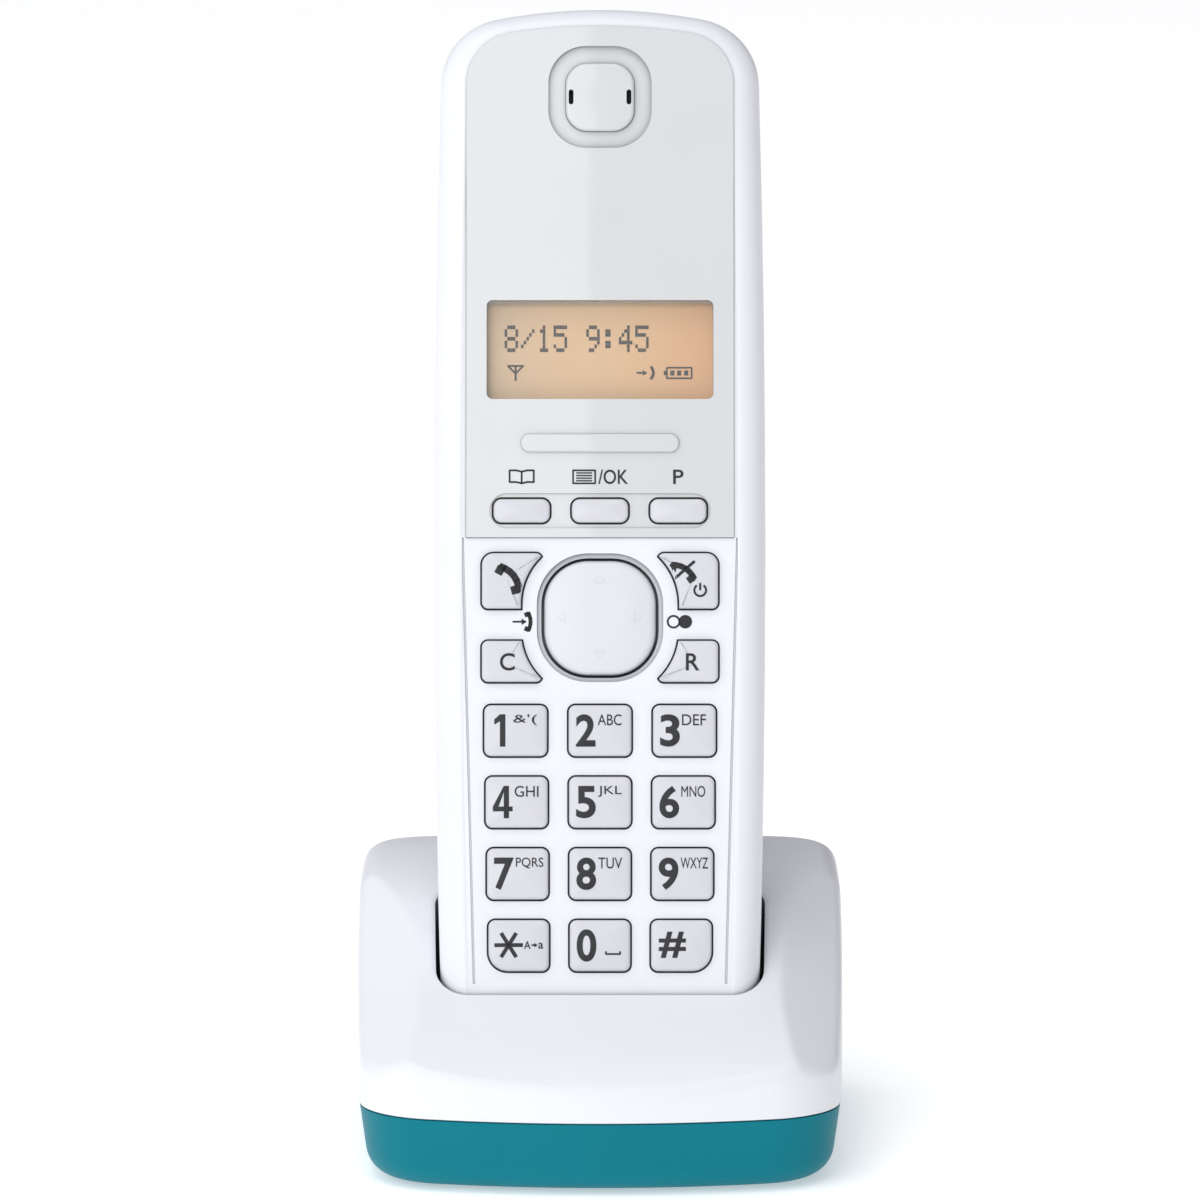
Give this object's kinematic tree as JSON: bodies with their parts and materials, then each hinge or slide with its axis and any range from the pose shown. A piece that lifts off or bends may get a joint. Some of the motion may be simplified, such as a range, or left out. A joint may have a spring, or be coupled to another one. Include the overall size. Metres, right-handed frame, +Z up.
{
  "type": "cordless phone with base",
  "caption": "Slim white cordless handset with keypad and amber display, standing in a small charging base with a coloured lower case.",
  "frame": {"origin": "centre of the base's footprint on the table plane", "axes": "+X to the viewer's right, keypad faces -Y, +Z up"},
  "size_m": [0.0706, 0.084, 0.1624],
  "materials": {
    "white_abs": "moulded ABS, fine satin",
    "panel_gloss": "high gloss moulded",
    "teal_abs": "moulded ABS, satin",
    "key_abs": "moulded, satin",
    "nav_abs": "moulded, semi-gloss",
    "key_ink": "printed ink",
    "display_ink": "lit dark segments",
    "window_clear": "clear",
    "display_amber": "amber liquid crystal cell",
    "light_guide": "amber lit diffuser",
    "silicone_rubber": "moulded silicone",
    "foot_rubber": "matt rubber",
    "circuit_board": "solder resist",
    "tinned_steel": "tin plated",
    "screw_steel": "zinc plated",
    "contact_nickel": "nickel plated",
    "black_plastic": "moulded",
    "cell_wrap": "printed sleeve"
  },
  "bodies": {
    "base": {"base_cover": "white_abs", "base_case": "teal_abs", "base_feet": "foot_rubber", "base_screws": "screw_steel", "base_board": "circuit_board", "base_shield": "tinned_steel", "base_contacts": "contact_nickel", "line_jack": "black_plastic", "dc_jack": "black_plastic", "locator_switch": "black_plastic"},
    "locator": {"locator_button": "nav_abs"},
    "handset": {"front_cover": "white_abs", "rear_cover": "white_abs", "upper_panel": "panel_gloss", "earpiece_cap": "panel_gloss", "earpiece_speaker": "black_plastic", "display_window": "window_clear", "lcd_glass": "display_amber", "lcd_light_guide": "light_guide", "lcd_holder": "black_plastic", "keypad_mat": "silicone_rubber", "handset_board": "circuit_board", "handset_shield": "tinned_steel", "microphone": "black_plastic", "ringer_speaker": "black_plastic", "battery_cells": "cell_wrap", "battery_contacts": "contact_nickel", "handset_contacts": "contact_nickel", "handset_screws": "screw_steel"},
    "battery_cover": {"battery_cover": "white_abs"},
    "nav_pivot": {"nav_pivot": "black_plastic"},
    "navigator": {"navigator": "nav_abs"},
    "soft_key_left": {"soft_key_left": "key_abs"},
    "soft_key_middle": {"soft_key_middle": "key_abs"},
    "soft_key_right": {"soft_key_right": "key_abs"},
    "key_talk": {"key_talk": "key_abs"},
    "key_off": {"key_off": "key_abs"},
    "key_clear": {"key_clear": "key_abs"},
    "key_recall": {"key_recall": "key_abs"},
    "key_1": {"key_1": "key_abs"},
    "key_2": {"key_2": "key_abs"},
    "key_3": {"key_3": "key_abs"},
    "key_4": {"key_4": "key_abs"},
    "key_5": {"key_5": "key_abs"},
    "key_6": {"key_6": "key_abs"},
    "key_7": {"key_7": "key_abs"},
    "key_8": {"key_8": "key_abs"},
    "key_9": {"key_9": "key_abs"},
    "key_star": {"key_star": "key_abs"},
    "key_0": {"key_0": "key_abs"},
    "key_hash": {"key_hash": "key_abs"}
  },
  "joints": [
    {"name": "handset_lift", "type": "slide", "parent": "base", "child": "handset", "axis": [0, 0.309, 0.9511], "range_m": [0, 0.09]},
    {"name": "battery_cover_slide", "type": "slide", "parent": "handset", "child": "battery_cover", "axis": [0, 0.9511, -0.309], "range_m": [0, 0.006]},
    {"name": "locator_press", "type": "slide", "parent": "base", "child": "locator", "axis": [0, 0, -1], "range_m": [0, 0.0005], "stiffness_N_per_m": 400},
    {"name": "nav_tilt_up_down", "type": "hinge", "parent": "handset", "child": "nav_pivot", "pos_m": [0, -0.00151, 0.07679], "axis": [1, 0, 0], "range_deg": [-2, 2], "stiffness_Nm_per_rad": 0.05},
    {"name": "nav_tilt_left_right", "type": "hinge", "parent": "nav_pivot", "child": "navigator", "pos_m": [0, -0.00151, 0.07679], "axis": [0, 0.309, 0.9511], "range_deg": [-2, 2], "stiffness_Nm_per_rad": 0.05},
    {"name": "soft_key_left_press", "type": "slide", "parent": "handset", "child": "soft_key_left", "axis": [0, 0.9511, -0.309], "range_m": [0, 0.0006], "stiffness_N_per_m": 400},
    {"name": "soft_key_middle_press", "type": "slide", "parent": "handset", "child": "soft_key_middle", "axis": [0, 0.9511, -0.309], "range_m": [0, 0.0006], "stiffness_N_per_m": 400},
    {"name": "soft_key_right_press", "type": "slide", "parent": "handset", "child": "soft_key_right", "axis": [0, 0.9511, -0.309], "range_m": [0, 0.0006], "stiffness_N_per_m": 400},
    {"name": "key_talk_press", "type": "slide", "parent": "handset", "child": "key_talk", "axis": [0, 0.9511, -0.309], "range_m": [0, 0.0006], "stiffness_N_per_m": 400},
    {"name": "key_off_press", "type": "slide", "parent": "handset", "child": "key_off", "axis": [0, 0.9511, -0.309], "range_m": [0, 0.0006], "stiffness_N_per_m": 400},
    {"name": "key_clear_press", "type": "slide", "parent": "handset", "child": "key_clear", "axis": [0, 0.9511, -0.309], "range_m": [0, 0.0006], "stiffness_N_per_m": 400},
    {"name": "key_recall_press", "type": "slide", "parent": "handset", "child": "key_recall", "axis": [0, 0.9511, -0.309], "range_m": [0, 0.0006], "stiffness_N_per_m": 400},
    {"name": "key_1_press", "type": "slide", "parent": "handset", "child": "key_1", "axis": [0, 0.9511, -0.309], "range_m": [0, 0.0006], "stiffness_N_per_m": 400},
    {"name": "key_2_press", "type": "slide", "parent": "handset", "child": "key_2", "axis": [0, 0.9511, -0.309], "range_m": [0, 0.0006], "stiffness_N_per_m": 400},
    {"name": "key_3_press", "type": "slide", "parent": "handset", "child": "key_3", "axis": [0, 0.9511, -0.309], "range_m": [0, 0.0006], "stiffness_N_per_m": 400},
    {"name": "key_4_press", "type": "slide", "parent": "handset", "child": "key_4", "axis": [0, 0.9511, -0.309], "range_m": [0, 0.0006], "stiffness_N_per_m": 400},
    {"name": "key_5_press", "type": "slide", "parent": "handset", "child": "key_5", "axis": [0, 0.9511, -0.309], "range_m": [0, 0.0006], "stiffness_N_per_m": 400},
    {"name": "key_6_press", "type": "slide", "parent": "handset", "child": "key_6", "axis": [0, 0.9511, -0.309], "range_m": [0, 0.0006], "stiffness_N_per_m": 400},
    {"name": "key_7_press", "type": "slide", "parent": "handset", "child": "key_7", "axis": [0, 0.9511, -0.309], "range_m": [0, 0.0006], "stiffness_N_per_m": 400},
    {"name": "key_8_press", "type": "slide", "parent": "handset", "child": "key_8", "axis": [0, 0.9511, -0.309], "range_m": [0, 0.0006], "stiffness_N_per_m": 400},
    {"name": "key_9_press", "type": "slide", "parent": "handset", "child": "key_9", "axis": [0, 0.9511, -0.309], "range_m": [0, 0.0006], "stiffness_N_per_m": 400},
    {"name": "key_star_press", "type": "slide", "parent": "handset", "child": "key_star", "axis": [0, 0.9511, -0.309], "range_m": [0, 0.0006], "stiffness_N_per_m": 400},
    {"name": "key_0_press", "type": "slide", "parent": "handset", "child": "key_0", "axis": [0, 0.9511, -0.309], "range_m": [0, 0.0006], "stiffness_N_per_m": 400},
    {"name": "key_hash_press", "type": "slide", "parent": "handset", "child": "key_hash", "axis": [0, 0.9511, -0.309], "range_m": [0, 0.0006], "stiffness_N_per_m": 400}
  ]
}
